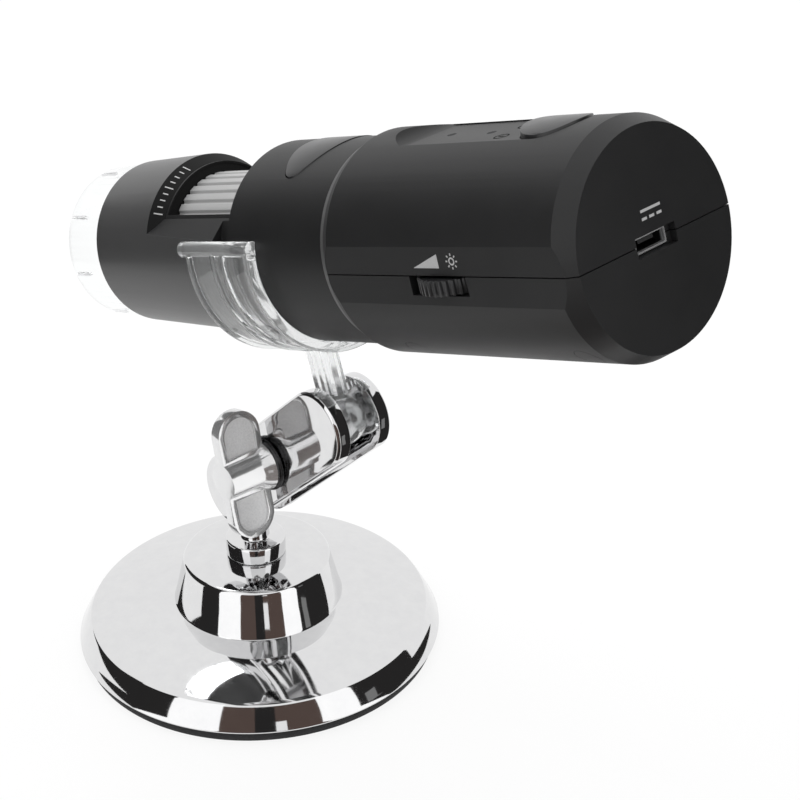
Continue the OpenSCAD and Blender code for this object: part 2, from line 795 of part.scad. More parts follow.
// Sunk panel with a ramp at its front end and a round rear end
module panel_cut() intersection() {
    linear_extrude(body_d) {
        translate([power_x, 0]) circle(panel_r);
        translate([panel_front - through, -panel_r]) square([power_x - panel_front + through, panel_w]);
    }
    ramp_foot = [panel_front + panel_ramp, panel_floor];
    translate([0, panel_r + through, 0]) rotate([90, 0, 0]) linear_extrude(panel_w + 2 * through) polygon([
        ramp_foot, [panel_rear + through, panel_floor],
        [panel_rear + through, body_d], ramp_foot + 10 * [-panel_ramp, -panel_z]
    ]);
}

module upper_shell() color("#202123") at_tube() {
    difference() {
        intersection() {
            body_form();
            span_box([-through, body_l + through], [-body_r, body_r], [seam / 2, body_r]);
        }
        body_cavity();
        socket_cut();
        panel_cut();
        translate([power_x, 0, 0]) cylinder(r = power_r + key_fit, h = body_d);
        translate([power_x, 0, 0]) cylinder(r = power_r + power_flange + key_fit, h = ceiling_z);
        for (x = pipe_spots) translate([x, 0, 0]) cylinder(d = pipe_d + 2 * seat_fit, h = body_d);
    }
    difference() {
        union() {
            intersection() {
                body_form();
                for (at = boss_spots) translate([at[0], at[1], main_top]) cylinder(r = boss_r, h = body_r);
            }
            for (x = [post_front, post_rear]) translate([x, 0, key_board_z])
                cylinder(r = post_r, h = ceiling_z + seam - key_board_z);
        }
        for (at = boss_spots) translate([at[0], at[1], main_top - through])
            cylinder(d = case_screw_d + 2 * seat_fit, h = pilot_top - main_top + through);
        for (x = [post_front, post_rear]) translate([x, 0, key_board_z - through])
            cylinder(d = case_screw_d + 2 * seat_fit, h = ceiling_z - key_board_z);
    }
}

module lower_shell() color("#242527") at_tube() {
    difference() {
        union() {
            difference() {
                intersection() {
                    body_form();
                    span_box([-through, body_l + through], [-body_r, body_r], [-body_r, -seam / 2]);
                }
                body_cavity();
                socket_cut();
                span_box(
                    [dial_x - slot_l / 2, dial_x + slot_l / 2],
                    [-body_r, dial_y],
                    [slot_bottom, through]
                );
            }
            intersection() {
                body_form();
                union() {
                    for (at = boss_spots) translate([at[0], at[1], -body_r])
                        cylinder(r = boss_r, h = body_r + main_bottom);
                    for (x = [dial_x - battery_l / 4, dial_x + battery_l / 4])
                        span_box([x - 1, x + 1], [-battery_w / 2, battery_w / 2], [-body_r, -battery_z]);
                }
            }
        }
        for (at = boss_spots) translate([at[0], at[1], 0]) {
            translate([0, 0, -body_d]) cylinder(r = head_well_r, h = body_d + head_seat_z);
            translate([0, 0, -body_d]) cylinder(d = case_screw_d + 2 * key_fit, h = body_d + through);
        }
    }
}

module case_screws() color("#8e9094") at_tube() for (at = boss_spots) translate([at[0], at[1], head_seat_z]) {
    translate([0, 0, -case_head_h]) cylinder(d = case_head_d, h = case_head_h);
    cylinder(d = case_screw_d, h = pilot_top - end_fit - head_seat_z);
}

// Soft plugs that close the wells of the case screws, flush with the body
module screw_plugs() color("#1b1c1e") at_tube() intersection() {
    body_form();
    for (at = boss_spots) translate([at[0], at[1], -body_d])
        cylinder(r = head_well_r - plug_fit, h = body_d + head_seat_z - case_head_h - end_fit);
}

// Front collar and its button

module snap_outline(grow) arc_oval(snap_l / 2 + grow, snap_w / 2 + grow, snap_tip_r + grow);

module front_collar() color("#1e1f21") at_tube() difference() {
    along_x() rotate_extrude() polygon([
        [collar_r - collar_bevel, collar_front], [collar_r, collar_front + collar_bevel],
        [collar_r, -collar_gap], [spigot_r, -collar_gap], [spigot_r, spigot_l],
        [collar_bore / 2, spigot_l], [collar_bore / 2, bulkhead_rear], [window_r, bulkhead_rear],
        [window_r, seat_x], [barrel_r + seat_fit, seat_x], [barrel_r + seat_fit, collar_front]
    ]);
    translate([snap_x, 0, 0]) linear_extrude(body_d) snap_outline(key_fit);
    for (side = [-1, 1]) {
        translate([0, 0, side * rod_span / 2]) rod_x(rod_r + seat_fit, seat_x - through, seat_x + rod_seat);
        translate([0, side * sensor_screw_at, side * sensor_screw_at])
            rod_x(sensor_screw_r + seat_fit, bulkhead_rear - bulkhead_t / 2, bulkhead_rear + through);
    }
}

// The cap follows the collar's curve, with a flange inside the wall and a foot over the switch
module snap_button() color("#2b2c2f") at_tube() {
    intersection() {
        translate([snap_x, 0, 0]) linear_extrude(body_d) snap_outline(0);
        ring_x(collar_r + snap_proud, collar_bore / 2 - key_fit - snap_flange_t / 2, -collar_l, 0);
    }
    intersection() {
        translate([snap_x, 0, 0]) linear_extrude(body_d) snap_outline(snap_flange);
        ring_x(
            collar_bore / 2 - key_fit, collar_bore / 2 - key_fit - snap_flange_t,
            -collar_l, 0
        );
    }
    foot_z = plunger_top + snap_travel + seat_fit;
    translate([snap_x, 0, foot_z]) cylinder(r = switch_w / 4, h = collar_bore / 2 - snap_flange_t - foot_z);
}

// Lens barrel and cap

// Section of the window recess across the tube, with a run-out at each side
module window_section() {
    foot = (floor_r + window_step) * [sin(window_half), cos(window_half)];
    edge = (floor_r + window_depth) * [sin(window_half + window_ramp), cos(window_half + window_ramp)];
    out = foot + 4 * (edge - foot);
    polygon([
        [0, 0], foot, out, [out[0], body_d], [-out[0], body_d], [-out[0], out[1]], [-foot[0], foot[1]]
    ]);
}

// Recess round the window, with a slope at its front end and a run-out at each side
module window_recess() intersection() {
    translate([barrel_front, 0, 0]) rotate([90, 0, 90]) linear_extrude(barrel_l + window_step) window_section();
    slope_foot = [floor_r, window_front + window_slope];
    along_x() rotate_extrude() polygon([
        slope_foot, [floor_r, collar_front + window_step], [body_d, collar_front + window_step],
        slope_foot + (body_d - floor_r) / window_depth * [window_depth, -window_slope]
    ]);
}

// Sector about the top of the tube, cut from radius r outwards
module top_sector(r, half, x0, x1)
    along_x() rotate([0, 0, 180 - half]) rotate_extrude(angle = 2 * half)
        translate([r, x0]) square([body_r - r, x1 - x0]);

module lens_barrel() color("#232426") at_tube() difference() {
    along_x() rotate_extrude() polygon([
        [barrel_front_r, barrel_front], [barrel_rear_r, collar_front - seat_fit],
        [barrel_r, collar_front - seat_fit], [barrel_r, barrel_rear], [bore_r, barrel_rear],
        [bore_r, wheel_front_x], [shoulder_r, wheel_front_x], [shoulder_r, light_seat_x],
        [bore_r, light_seat_x], [bore_r, barrel_front]
    ]);
    window_recess();
    top_sector(shoulder_r, opening_half, wheel_front, collar_front);
    top_sector(floor_r + notch_step, notch_half, collar_front - notch_l, collar_front);
}

module front_cap() color("#eef3f5", 0.4) at_tube() difference() {
    along_x() rotate_extrude() polygon([
        [cap_rim_d / 2, cap_front], [cap_d / 2, barrel_front - seat_fit],
        [bore_r - run_fit, barrel_front - seat_fit], [bore_r - run_fit, barrel_front + cap_spigot_l],
        [bore_r - run_fit - cap_wall, barrel_front + cap_spigot_l],
        [bore_r - run_fit - cap_wall, barrel_front], [cap_rim_d / 2 - cap_wall, cap_front]
    ]);
    for (i = [0 : cap_slits - 1]) rotate([54 + 360 * i / cap_slits, 0, 0])
        span_box(
            [cap_front - through, cap_front + cap_slit_l],
            [-cap_slit_w / 2, cap_slit_w / 2],
            [cap_rim_d / 2 - 2 * cap_wall, body_r]
        );
}

// Focus

module focus_wheel() color("#b9babb") at_tube() difference() {
    union() {
        along_x(wheel_front) linear_extrude(wheel_rear - wheel_front)
            polygon(rib_outline(wheel_ribs, crest_r, wheel_groove, wheel_crest));
        rod_x(journal_r, wheel_front - journal_l, wheel_front + wheel_land);
        rod_x(wheel_r, collar_front + wheel_land, wheel_rear);
    }
    rod_x(wheel_bore_r, wheel_front - journal_l - through, wheel_rear + through);
}

module lens_carriage() color("#2a2b2d") at_tube() difference() {
    along_x() rotate_extrude() polygon([
        [carriage_bore / 2, nose_front], [nose_r, nose_front], [nose_r, flange_front],
        [flange_r, flange_front], [flange_r, flange_rear], [carriage_bore / 2 - lens_lip, flange_rear],
        [carriage_bore / 2 - lens_lip, lens_front + lens_t], [carriage_bore / 2, lens_front + lens_t]
    ]);
    for (side = [-1, 1]) translate([0, 0, side * rod_span / 2])
        rod_x(rod_r + run_fit, flange_front - through, flange_rear + through);
}

// A flat-backed lens whose front is part of a sphere
module objective_lens() color("#9fb4c8", 0.6) at_tube() intersection() {
    rod_x(lens_r, lens_front, lens_front + lens_t);
    translate([lens_front + 2 * lens_r, 0, 0]) sphere(2 * lens_r);
}

module guide_rods() color("#b4b6b9") at_tube() for (side = [-1, 1])
    translate([0, 0, side * rod_span / 2]) rod_x(rod_r, rod_front, seat_x + rod_seat);

// Light ring

module light_ring_board() color("#e9e9e6") at_tube()
    ring_x(ring_board_r, ring_board_bore, ring_board_front, light_seat_x);

module ring_lamps() color("#f3efd2") at_tube() for (i = [0 : lamp_count - 1])
    rotate([360 * (i + 0.5) / lamp_count, 0, 0]) span_box(
        [ring_board_front - lamp_h, ring_board_front],
        [-lamp_w / 2, lamp_w / 2],
        [lamp_circle_d / 2 - lamp_w / 2, lamp_circle_d / 2 + lamp_w / 2]
    );

// Sensor

module sensor_board() color("#1f5c3a") at_tube() difference() {
    span_box(
        [bulkhead_rear, bulkhead_rear + board_t],
        [-sensor_board_w / 2, sensor_board_w / 2],
        [-sensor_board_w / 2, sensor_board_w / 2]
    );
    for (side = [-1, 1]) translate([0, side * sensor_screw_at, side * sensor_screw_at])
        rod_x(sensor_screw_r + key_fit, bulkhead_rear - through, bulkhead_rear + board_t + through);
}

module image_sensor() color("#3a3f55") at_tube() span_box(
    [sensor_front, bulkhead_rear], [-sensor_w / 2, sensor_w / 2], [-sensor_w / 2, sensor_w / 2]
);

module sensor_screws() color("#8e9094") at_tube() for (side = [-1, 1])
    translate([0, side * sensor_screw_at, side * sensor_screw_at]) {
        rod_x(sensor_screw_r, bulkhead_rear - bulkhead_t / 2 + end_fit, bulkhead_rear + board_t);
        rod_x(sensor_head_r, bulkhead_rear + board_t, bulkhead_rear + board_t + 1);
    }

// Flat cable from the back of the sensor board to the front edge of the main board
module sensor_flex() color("#c98b3c") at_tube()
    translate([0, flex_w / 2, 0]) rotate([90, 0, 0]) linear_extrude(flex_w) {
        tab_x = bulkhead_rear + board_t;
        tab_z = -sensor_board_w / 2 + 1;
        run_z = tab_z + flex_tab;
        translate([tab_x, tab_z]) square([flex_t, flex_tab]);
        translate([tab_x, run_z - flex_t]) square([main_front - flex_drop - tab_x, flex_t]);
        polygon([
            [main_front - flex_drop - flex_t, run_z - flex_t], [main_front - flex_drop, run_z - flex_t],
            [main_front, main_top], [main_front, main_top + flex_t],
            [main_front - flex_t, main_top + flex_t], [main_front - flex_drop - flex_t, run_z]
        ]);
        translate([main_front - flex_t, main_top]) square([flex_land + flex_t, flex_t]);
    }

// Main board and what it carries

module main_board() color("#1f5c3a") at_tube() translate([0, 0, main_bottom]) linear_extrude(board_t)
    difference() {
        translate([main_front, -main_board_w / 2]) square([main_rear - main_front, main_board_w]);
        translate([dial_x - dial_r - notch_margin, -body_r])
            square([dial_d + 2 * notch_margin, body_r + dial_y + dial_r + notch_margin]);
        for (at = boss_spots) translate(at) circle(d = case_screw_d + 2 * key_fit);
    }

module board_chips() color("#2b2b2e") at_tube() {
    span_box(
        [dial_x - processor_w, dial_x], [chip_in, chip_in + processor_w], [main_top, main_top + processor_h]
    );
    span_box([memory_x, memory_x + memory_l], [0, memory_w], [main_top, main_top + memory_h]);
    span_box(
        [memory_x, memory_x + store_l], [memory_w + chip_in, memory_w + chip_in + store_w],
        [main_top, main_top + store_h]
    );
}

module battery() color("#6f7f93") at_tube() span_box(
    [dial_x - battery_l / 2, dial_x + battery_l / 2],
    [-battery_w / 2, battery_w / 2],
    [-battery_z, battery_t - battery_z]
);

// Folded metal shell with a tongue inside, open to the rear
module micro_socket() color("#c0c2c5") at_tube() translate([socket_rear - socket_l, 0, socket_z]) {
    wall = 0.3;
    difference() {
        span_box([0, socket_l], [-socket_w / 2, socket_w / 2], [-socket_h / 2, socket_h / 2]);
        span_box(
            [1, socket_l + through],
            [wall - socket_w / 2, socket_w / 2 - wall],
            [wall - socket_h / 2, socket_h / 2 - wall]
        );
    }
    span_box([0.5, socket_l - 1], [-socket_w / 4, socket_w / 4], [0, socket_h / 4]);
}

// Light dial

module light_dial() color("#2f3033") at_tube() translate([dial_x, dial_y, dial_z]) difference() {
    linear_extrude(dial_t) polygon(rib_outline(dial_notches, dial_r, dial_notch));
    translate([0, 0, -through]) cylinder(r = dial_shaft_r + run_fit, h = dial_t + 2 * through);
}

// Base plate of the dial's resistor, soldered under the main board, with the shaft that the dial turns on
module dial_pot() color("#59606a") at_tube() {
    span_box(
        [dial_x - pot_l / 2, dial_x + pot_l / 2],
        [-pot_out_y, dial_y + dial_r + notch_margin + pot_in],
        [pot_bottom, pot_top]
    );
    translate([dial_x, dial_y, pot_bottom]) cylinder(r = dial_shaft_r, h = dial_z + dial_t - pot_bottom);
}

// Key board and what it carries

module key_board() color("#1f5c3a") at_tube() translate([0, 0, key_bottom]) linear_extrude(board_t)
    difference() {
        translate([key_front, -key_board_w / 2]) square([key_rear - key_front, key_board_w]);
        for (x = [post_front, post_rear]) translate([x, 0]) circle(d = case_screw_d + 2 * key_fit);
    }

module key_switch(x) translate([x, 0, key_board_z]) {
    translate([-switch_w / 2, -switch_w / 2, 0]) cube([switch_w, switch_w, switch_h]);
    cylinder(r = switch_w / 4, h = switch_h + plunger_h);
}

module power_switch() color("#3b3c40") at_tube() key_switch(power_x);

module snap_switch() color("#3b3c40") at_tube() key_switch(snap_x);

// The button narrows to a top that follows the body's curve; its flange is caught under the panel
module power_button() color("#2b2c2f") at_tube() {
    flange_top = ceiling_z - seat_fit;
    foot_z = plunger_top + power_travel + seat_fit;
    top_z = body_r + power_proud;
    lean = (power_r - power_top_r) / (top_z - panel_floor);
    intersection() {
        translate([power_x, 0, 0]) rotate_extrude() polygon([
            [0, flange_top - power_flange_h], [power_r, flange_top - power_flange_h], [power_r, panel_floor],
            [power_top_r - lean * through, top_z + through], [0, top_z + through]
        ]);
        rod_x(top_z, 0, body_l);
    }
    translate([power_x, 0, flange_top - power_flange_h]) cylinder(r = power_r + power_flange, h = power_flange_h);
    translate([power_x, 0, foot_z]) cylinder(r = switch_w / 4, h = flange_top - foot_z);
}

module status_lamps() color("#d9e8d2") at_tube() for (x = pipe_spots) span_box(
    [x - pipe_d / 2, x + pipe_d / 2], [-pipe_d / 2, pipe_d / 2], [key_board_z, key_board_z + status_lamp_h]
);

module light_pipes() color("#f2f5f6", 0.6) at_tube() for (x = pipe_spots)
    translate([x, 0, key_board_z + status_lamp_h]) cylinder(d = pipe_d, h = panel_floor - key_board_z - status_lamp_h);

module key_board_screws() color("#8e9094") at_tube() for (x = [post_front, post_rear]) translate([x, 0, key_bottom]) {
    translate([0, 0, -case_head_h]) cylinder(d = case_head_d, h = case_head_h);
    cylinder(d = case_screw_d, h = key_screw_top - key_bottom);
}

base_pad();
base_plate();
ball_stud();
stud_nut();
clamp_jaw_front();
clamp_jaw_rear();
clamp_screw();
clamp_washer();
wing_nut();
cradle();
upper_shell();
lower_shell();
front_collar();
lens_barrel();
front_cap();
focus_wheel();
lens_carriage();
objective_lens();
guide_rods();
light_ring_board();
ring_lamps();
sensor_board();
image_sensor();
sensor_screws();
sensor_flex();
main_board();
board_chips();
battery();
micro_socket();
light_dial();
dial_pot();
key_board();
power_button();
power_switch();
snap_button();
snap_switch();
status_lamps();
light_pipes();
case_screws();
screw_plugs();
key_board_screws();
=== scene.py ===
import json
import math

import bpy
from mathutils import Matrix, Quaternion, Vector


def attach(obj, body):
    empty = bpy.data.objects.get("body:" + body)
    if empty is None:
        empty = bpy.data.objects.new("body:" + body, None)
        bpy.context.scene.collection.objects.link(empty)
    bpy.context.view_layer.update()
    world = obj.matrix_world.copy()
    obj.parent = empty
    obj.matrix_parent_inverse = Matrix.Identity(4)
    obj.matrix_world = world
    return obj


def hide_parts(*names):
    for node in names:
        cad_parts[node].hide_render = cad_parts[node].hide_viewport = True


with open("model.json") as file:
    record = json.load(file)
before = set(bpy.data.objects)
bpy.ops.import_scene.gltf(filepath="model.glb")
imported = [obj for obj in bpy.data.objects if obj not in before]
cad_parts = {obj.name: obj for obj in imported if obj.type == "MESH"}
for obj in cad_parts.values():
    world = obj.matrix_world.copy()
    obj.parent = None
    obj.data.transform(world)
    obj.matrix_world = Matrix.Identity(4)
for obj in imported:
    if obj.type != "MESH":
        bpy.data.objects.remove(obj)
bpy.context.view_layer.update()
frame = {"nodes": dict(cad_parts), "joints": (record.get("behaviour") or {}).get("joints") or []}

# The photographer's view
# The camera stands behind and to the right of the tube, well above the table, with a long lens.
# Its place and the point that it looks at are in millimetres in the stand's frame.
MM = 0.001
eye = Vector((291.2, -240.9, 274.2)) * MM
aim = Vector((23.3, 21.2, 59.1)) * MM
camera_roll = math.radians(-0.88)
bpy.ops.object.camera_add(location=eye)
camera = bpy.context.object
camera.name = "photo_camera"
camera.rotation_mode = "QUATERNION"
camera.rotation_quaternion = (aim - eye).to_track_quat("-Z", "Y") @ Quaternion((0, 0, 1), camera_roll)
camera.data.lens = 94.5
camera.data.sensor_width = 36
camera.data.clip_start = 0.01
bpy.context.scene.camera = camera
bpy.context.scene.view_settings.view_transform = "Standard"

# The white table and the air round it
# A wide white sheet lies under the stand, and the room beyond it is white too.
# Both look plain white to the eye and in metal and glass, and light the object softly.


class Knot:
    """One output in a node tree. Sums and products of knots add Math nodes to the tree."""

    def __init__(self, tree, socket):
        self.tree = tree
        self.socket = socket

    def node(self, kind, settings=None, values=None, out=0):
        """Adds a node of that kind: its settings first, then the values or links of its sockets."""
        made = self.tree.nodes.new(kind)
        for name, value in (settings or {}).items():
            setattr(made, name, value)
        for name, value in (values or {}).items():
            if isinstance(value, Knot):
                self.tree.links.new(value.socket, made.inputs[name])
            else:
                made.inputs[name].default_value = value
        return Knot(self.tree, made.outputs[out])

    def math(self, operation, first, second):
        return self.node("ShaderNodeMath", {"operation": operation}, {0: first, 1: second})

    def __add__(self, other):
        return self.math("ADD", self, other)

    def __radd__(self, other):
        return self.math("ADD", other, self)

    def __rsub__(self, other):
        return self.math("SUBTRACT", other, self)

    def __mul__(self, other):
        return self.math("MULTIPLY", self, other)

    def __rmul__(self, other):
        return self.math("MULTIPLY", other, self)

    def feed(self, socket):
        self.tree.links.new(self.socket, socket)


def seen_rays(tree):
    """1 where a ray comes straight from the eye, off metal or through glass, and 0 for plain light."""
    rays = tree.nodes.new("ShaderNodeLightPath")
    straight, shine, glass = (
        Knot(tree, rays.outputs[name]) for name in ("Is Camera Ray", "Is Glossy Ray", "Is Transmission Ray")
    )
    total = straight + shine + glass
    return total.math("MINIMUM", total, 1.0)


# To plain light the room is greyer than it looks
room_light = (0.62, 0.62, 0.62, 1)
white = (1, 1, 1, 1)
world = bpy.data.worlds.new("white_room")
bpy.context.scene.world = world
world.use_nodes = True
room = world.node_tree
seen = seen_rays(room)
air = seen.node("ShaderNodeMix", {"data_type": "RGBA"}, {0: seen, 6: room_light, 7: white}, out=2)
air.feed(room.nodes["Background"].inputs["Color"])

table_size = 6.0
shadow_share = 0.12
bpy.ops.object.select_all(action="DESELECT")
bpy.ops.mesh.primitive_plane_add(size=table_size)
table = bpy.context.object
table.name = "table"
table_white = bpy.data.materials.new("table_white")
table_white.use_nodes = True
tree = table_white.node_tree
paper = tree.nodes["Principled BSDF"]
paper.inputs["Base Color"].default_value = (0.85, 0.85, 0.85, 1)
paper.inputs["Roughness"].default_value = 0.9
seen = seen_rays(tree)
glow = seen.node("ShaderNodeEmission", values={"Color": white, "Strength": 1.0})
paper_out = Knot(tree, paper.outputs["BSDF"])
sheet = seen.node("ShaderNodeMixShader", values={"Fac": seen * (1 - shadow_share), 1: paper_out, 2: glow})
sheet.feed(tree.nodes["Material Output"].inputs["Surface"])
table.data.materials.append(table_white)

# The studio's lamps and cards
# Two softboxes hang over the table, and dark and white cards stand round the photographer's side.
# The cards are seen only in the shine of metal and plastic, where they draw its bands.
lamp_aim = Vector((0, 0, 0.06))
# Each softbox has its place, its side and its power
softboxes = {
    "softbox_top": ((-0.10, 0.15, 0.75), 0.8, 5.0),
    "softbox_left": ((-0.75, -0.25, 0.55), 0.6, 2.0),
}
for name, (place, size, power) in softboxes.items():
    bpy.ops.object.light_add(type="AREA", location=place)
    lamp = bpy.context.object
    lamp.name = name
    lamp.data.size = size
    lamp.data.energy = power
    lamp.visible_glossy = False
    lamp.rotation_euler = (lamp_aim - Vector(place)).to_track_quat("-Z", "Y").to_euler()


def drawn_line(name, points):
    """A new object with one line of edges through the points, left open in edit mode."""
    bpy.ops.object.select_all(action="DESELECT")
    bpy.ops.mesh.primitive_plane_add(size=1)
    piece = bpy.context.object
    piece.name = name
    bpy.ops.object.mode_set(mode="EDIT")
    bpy.ops.mesh.merge(type="CENTER")
    bpy.ops.transform.translate(value=points[0])
    for before, after in zip(points, points[1:]):
        step = Vector(after) - Vector(before)
        bpy.ops.mesh.extrude_vertices_move(TRANSFORM_OT_translate={"value": step})
    return piece


card_distance = 0.24
card_lift = 0.0005
card_height = 0.34
card_steps = 24
centre_height = 0.13
photographer = math.degrees(math.atan2(eye.y, eye.x))
card_glow = {"dark": (0.024, 0.023, 0.023), "brown": (0.1, 0.072, 0.063), "grey": (0.22, 0.22, 0.22),
             "white": (1.3, 1.3, 1.3)}
near = (0.052, card_lift)
corner = (card_distance, card_lift)
top = (card_distance, card_height)
centre_top = (card_distance, centre_height)
# Each card runs between two angles from the photographer's, along points of distance and height
cards = {
    "card_centre_left": (-25, -6, [near, corner, centre_top], "brown"),
    "card_centre": (-6, 5, [near, corner, centre_top], "dark"),
    "card_centre_foot": (5, 11, [near, (0.2, card_lift)], "brown"),
    "card_centre_top": (5, 11, [(card_distance, 0.045), centre_top], "brown"),
    "card_centre_right": (11, 30, [near, corner, centre_top], "brown"),
    "card_left": (-132, -54, [(0.21, card_lift), corner, top], "dark"),
    "card_left_foot": (-80, -54, [near, corner], "dark"),
    "card_right": (64, 95, [near, corner, top], "dark"),
    "card_right_foot": (57, 64, [near, (0.14, card_lift)], "dark"),
    "card_right_top": (57, 64, [(card_distance, 0.04), top], "dark"),
    "card_right_gap": (57, 64, [(0.14, card_lift), corner, (card_distance, 0.04)], "grey"),
    "card_right_edge": (52, 57, [near, corner, top], "dark"),
    "bounce_left": (-54, -25, [near, corner, top], "white"),
    "bounce_right": (30, 52, [near, corner, top], "white"),
}
for name, (first, last, bend, kind) in cards.items():
    turn = math.radians(photographer + last)
    card = drawn_line(name, [(far * math.cos(turn), far * math.sin(turn), high) for far, high in bend])
    bpy.ops.mesh.select_all(action="SELECT")
    bpy.ops.mesh.spin(steps=card_steps, angle=math.radians(last - first), center=(0, 0, 0), axis=(0, 0, 1))
    bpy.ops.object.mode_set(mode="OBJECT")
    card.visible_camera = False
    card.visible_diffuse = False
    card.visible_shadow = False
    card.visible_transmission = False
    sheet_colour = bpy.data.materials.new(f"{name}_sheet")
    sheet_colour.use_nodes = True
    sheet_shader = sheet_colour.node_tree.nodes["Principled BSDF"].inputs
    sheet_shader["Base Color"].default_value = (0, 0, 0, 1)
    sheet_shader["Specular IOR Level"].default_value = 0.0
    sheet_shader["Emission Color"].default_value = (*card_glow[kind], 1)
    sheet_shader["Emission Strength"].default_value = 1.0
    card.data.materials.append(sheet_colour)

# Soft pad
# A round of soft dark foam, stuck under the base so that the metal doesn't scratch the table.
# Its cut edge bulges a little, and its skin has a fine open grain.


def arc(centre, radius, start, stop, steps):
    """Points on an arc in the plane of radius and height, from one angle to the other, in degrees."""
    turns = [math.radians(start + (stop - start) * i / steps) for i in range(steps + 1)]
    return [(centre[0] + radius * math.cos(a), centre[1] + radius * math.sin(a)) for a in turns]


def lathe(name, outline, steps=160):
    """A turned piece, in millimetres: an outline of radius and height, spun about Z."""
    weld = 0.0005
    piece = drawn_line(name, [(r, 0, z) for r, z in outline])
    bpy.ops.mesh.select_all(action="SELECT")
    bpy.ops.mesh.spin(steps=steps, angle=math.tau, center=(0, 0, 0), axis=(0, 0, 1))
    bpy.ops.mesh.select_all(action="SELECT")
    bpy.ops.mesh.remove_doubles(threshold=weld)
    bpy.ops.mesh.normals_make_consistent(inside=False)
    bpy.ops.object.mode_set(mode="OBJECT")
    return piece


def only(piece):
    """Makes a piece the only one selected, and the active one."""
    bpy.ops.object.select_all(action="DESELECT")
    piece.select_set(True)
    bpy.context.view_layer.objects.active = piece


def settle(piece, place, crease=35):
    """Moves a piece that was made in millimetres to its place in the frame, and smooths its shading."""
    only(piece)
    piece.matrix_world = place
    bpy.ops.object.transform_apply(location=True, rotation=True, scale=True)
    bpy.ops.object.shade_smooth_by_angle(angle=math.radians(crease))


def hand_over(piece, body, nodes, material):
    """Gives a finished piece its material and its body, and hides the CAD nodes that it stands for."""
    piece.data.materials.clear()
    piece.data.materials.append(material)
    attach(piece, body)
    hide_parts(*nodes)


def new_surface(name):
    """A material with its main shader, and the point on the piece in millimetres to draw patterns by."""
    material = bpy.data.materials.new(name)
    material.use_nodes = True
    nodes = material.node_tree.nodes
    place = Knot(material.node_tree, nodes.new("ShaderNodeTexCoord").outputs["Object"])
    point = place.node("ShaderNodeVectorMath", {"operation": "SCALE"}, {0: place, "Scale": 1 / MM})
    return material, nodes["Principled BSDF"].inputs, point


def noise(point, scale, detail=2.0, roughness=0.5):
    """Cloudy values from 0 to 1, with features of about 1 / scale millimetres."""
    values = {"Vector": point, "Scale": scale, "Detail": detail, "Roughness": roughness}
    return point.node("ShaderNodeTexNoise", values=values)


def tint(mask, dark, light):
    """A colour that runs from dark to light with the mask."""
    values = {0: mask, 6: (*dark, 1), 7: (*light, 1)}
    return mask.node("ShaderNodeMix", {"data_type": "RGBA"}, values, out=2)


def relief(height, depth):
    """A bump from a height of 0 to 1, with its depth in millimetres."""
    return height.node("ShaderNodeBump", values={"Height": height, "Distance": depth * MM})


def clouded(name, grain, rough, colours=None, depth=None, fixed=None):
    """A material with one cloudy grain, given as the scale, detail and roughness of its noise.
    Its roughness starts at one value and grows by another with the grain. Its colour runs between
    two, a depth in millimetres adds a bump, and fixed holds plain values of the shader."""
    material, sockets, point = new_surface(name)
    cloud = noise(point, *grain)
    (rough[0] + rough[1] * cloud).feed(sockets["Roughness"])
    if colours:
        tint(cloud, *colours).feed(sockets["Base Color"])
    if depth:
        relief(cloud, depth).feed(sockets["Normal"])
    for socket, value in (fixed or {}).items():
        sockets[socket].default_value = value
    return material


stand_place = Matrix.Scale(MM, 4)
pad_radius = 38.45
pad_top = 2.5
pad_bulge = 0.35
pad_steps = 8
pad_edge = [
    (pad_radius - pad_bulge + pad_bulge * math.sin(math.pi * i / pad_steps), pad_top * i / pad_steps)
    for i in range(pad_steps + 1)
]
pad = lathe("base_pad_foam", [(0, 0)] + pad_edge + [(0, pad_top)])
settle(pad, stand_place)
pad_foam = clouded("pad_foam", grain=(2.4, 4.0, 0.7), rough=(0.75, 0.2), depth=0.15,
                   colours=((0.012, 0.012, 0.013), (0.035, 0.035, 0.036)))
hand_over(pad, "stand", ["base_pad"], pad_foam)

# Base
# A heavy round casting with a bevelled skirt, a low dome and a hub, polished and bright plated.
# The solid is hollow below. The pad hides that, so this piece is full, apart from the stud's hole.
base_radius = 39.25
skirt_top = (36.45, 7.8)
hub_foot = (18.1, 10.6)
hub_top = (15.95, 21.0)
hub_round = 1.0
crown_edge = (7.4, 21.4)
stud_hole = 3.1
foot_round = 0.3
hub_lean = 0.12
# Small steps outwards and upwards, from the skirt's top, the hub's foot and the crown's edge
skirt_cut = [(0.25, -0.35), (0, -0.05)]
hub_fillet = [(0.1, 0.02), (-0.1, 0.3)]
crown_fall = [(3, -0.08), (0, 0)]
dome_steps = 40
dome = [
    (
        skirt_top[0] + (hub_foot[0] - skirt_top[0]) * i / dome_steps,
        skirt_top[1] + (hub_foot[1] - skirt_top[1]) * math.sin(math.pi / 2 * i / dome_steps),
    )
    for i in range(1, dome_steps)
]
base_outline = (
    [(stud_hole, pad_top), (base_radius - foot_round, pad_top)]
    + arc((base_radius - foot_round, pad_top + foot_round), foot_round, -90, 20, 5)
    + [(skirt_top[0] + out, skirt_top[1] + up) for out, up in skirt_cut]
    + dome
    + [(hub_foot[0] + out, hub_foot[1] + up) for out, up in hub_fillet]
    + arc((hub_top[0] - hub_round - hub_lean, hub_top[1] - hub_round), hub_round, 8, 84, 8)
    + [(crown_edge[0] + out, crown_edge[1] + up) for out, up in crown_fall]
    + [(stud_hole, crown_edge[1]), (stud_hole, pad_top)]
)
base = lathe("base_plate_plated", base_outline, steps=256)
settle(base, stand_place, crease=25)
plating, plating_sockets, point = new_surface("bright_plating")
waves = noise(point, 0.09, 1.0)
smudges = noise(point, 0.35, 3.0, 0.6)
